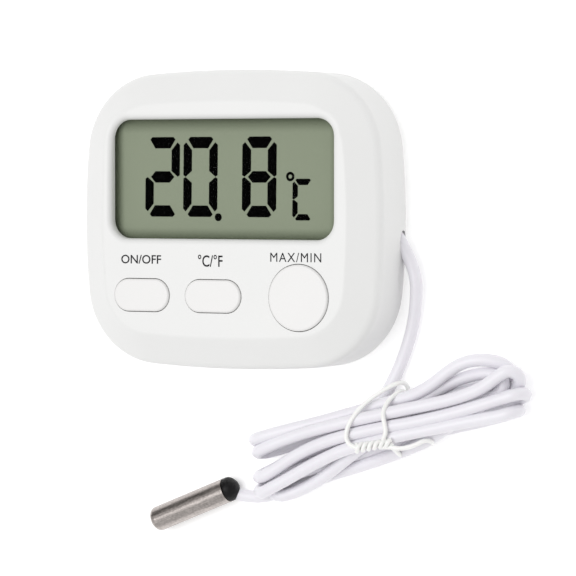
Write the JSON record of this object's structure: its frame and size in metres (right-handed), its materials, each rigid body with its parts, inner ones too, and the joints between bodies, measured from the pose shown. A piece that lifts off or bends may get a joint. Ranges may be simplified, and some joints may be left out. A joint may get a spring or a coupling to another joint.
{
  "type": "digital probe thermometer",
  "caption": "Soft-cornered digital thermometer with a segment display, keys, a fold-out stand and a battery door, and a thin cord tied in a hank that ends in a steel probe.",
  "frame": {"origin": "centre of the case's flat back, on the table it lies on", "axes": "+Z out of the display, +Y towards the case's top edge, +X towards the side the cord leaves"},
  "size_m": [0.0951, 0.0931, 0.0165],
  "materials": {
    "case_plastic": "satin white ABS",
    "key_plastic": "satin white ABS",
    "window_clear": "clear acrylic",
    "lcd_glass": "polarised display glass",
    "lcd_reflector": "grey-green reflective film",
    "frame_plastic": "moulded",
    "strip_rubber": "silicone with carbon stripes",
    "board": "solder-masked fibreglass",
    "resin_black": "cured resin",
    "crystal_steel": "drawn can",
    "chip_ceramic": "fired ceramic",
    "dome_silicone": "soft silicone",
    "pill_carbon": "carbon rubber",
    "cell_steel": "nickel-plated",
    "contact_nickel": "nickel-plated spring steel",
    "screw_steel": "zinc-plated",
    "pin_steel": "drawn wire",
    "wire_jacket": "PVC insulation",
    "cord_pvc": "soft white PVC",
    "tie_plastic": "plastic-covered wire",
    "probe_steel": "polished stainless",
    "bead_glass": "glass-coated bead"
  },
  "bodies": {
    "case": {"front_shell": "case_plastic", "rear_shell": "case_plastic", "window_lens": "window_clear", "lcd_front_glass": "lcd_glass", "lcd_rear_glass": "lcd_glass", "lcd_reflector": "lcd_reflector", "lcd_frame": "frame_plastic", "contact_strip": "strip_rubber", "main_board": "board", "controller_blob": "resin_black", "crystal_can": "crystal_steel", "chip_parts": "chip_ceramic", "stand_pin": "pin_steel", "cord_clamp": "frame_plastic", "sensor_wires": "wire_jacket", "cord_lead": "cord_pvc", "cord_hank": "cord_pvc", "cord_tail": "cord_pvc", "twist_tie": "tie_plastic", "probe_cap": "probe_steel", "probe_potting": "resin_black", "thermistor_bead": "bead_glass", "thermistor_leads": "wire_jacket", "on_off_dome": "dome_silicone", "unit_dome": "dome_silicone", "max_min_dome": "dome_silicone", "cell_left": "cell_steel", "cell_leaf_left": "contact_nickel", "cell_side_contact_left": "contact_nickel", "case_screw_left": "screw_steel", "cell_right": "cell_steel", "cell_leaf_right": "contact_nickel", "cell_side_contact_right": "contact_nickel", "case_screw_right": "screw_steel", "board_screw_1": "screw_steel", "board_screw_2": "screw_steel", "board_screw_3": "screw_steel", "board_screw_4": "screw_steel"},
    "on_off_key": {"on_off_keycap": "key_plastic", "on_off_pill": "pill_carbon"},
    "unit_key": {"unit_keycap": "key_plastic", "unit_pill": "pill_carbon"},
    "max_min_key": {"max_min_keycap": "key_plastic", "max_min_pill": "pill_carbon"},
    "door": {"battery_door": "case_plastic"},
    "stand": {"stand_leg": "case_plastic"}
  },
  "joints": [
    {"name": "on_off_press", "type": "slide", "parent": "case", "child": "on_off_key", "axis": [0, 0, -1], "range_m": [0, 0.0008], "stiffness_N_per_m": 1500, "springref_m": -0.0003, "deforming": ["on_off_dome"]},
    {"name": "unit_press", "type": "slide", "parent": "case", "child": "unit_key", "axis": [0, 0, -1], "range_m": [0, 0.0008], "stiffness_N_per_m": 1500, "springref_m": -0.0003, "deforming": ["unit_dome"]},
    {"name": "max_min_press", "type": "slide", "parent": "case", "child": "max_min_key", "axis": [0, 0, -1], "range_m": [0, 0.0008], "stiffness_N_per_m": 1500, "springref_m": -0.0003, "deforming": ["max_min_dome"]},
    {"name": "door_slide", "type": "slide", "parent": "case", "child": "door", "axis": [0, -1, 0], "range_m": [0, 0.007]},
    {"name": "stand_hinge", "type": "hinge", "parent": "case", "child": "stand", "pos_m": [0, 0.0175, 0.00115], "axis": [1, 0, 0], "range_deg": [0, 44]}
  ]
}
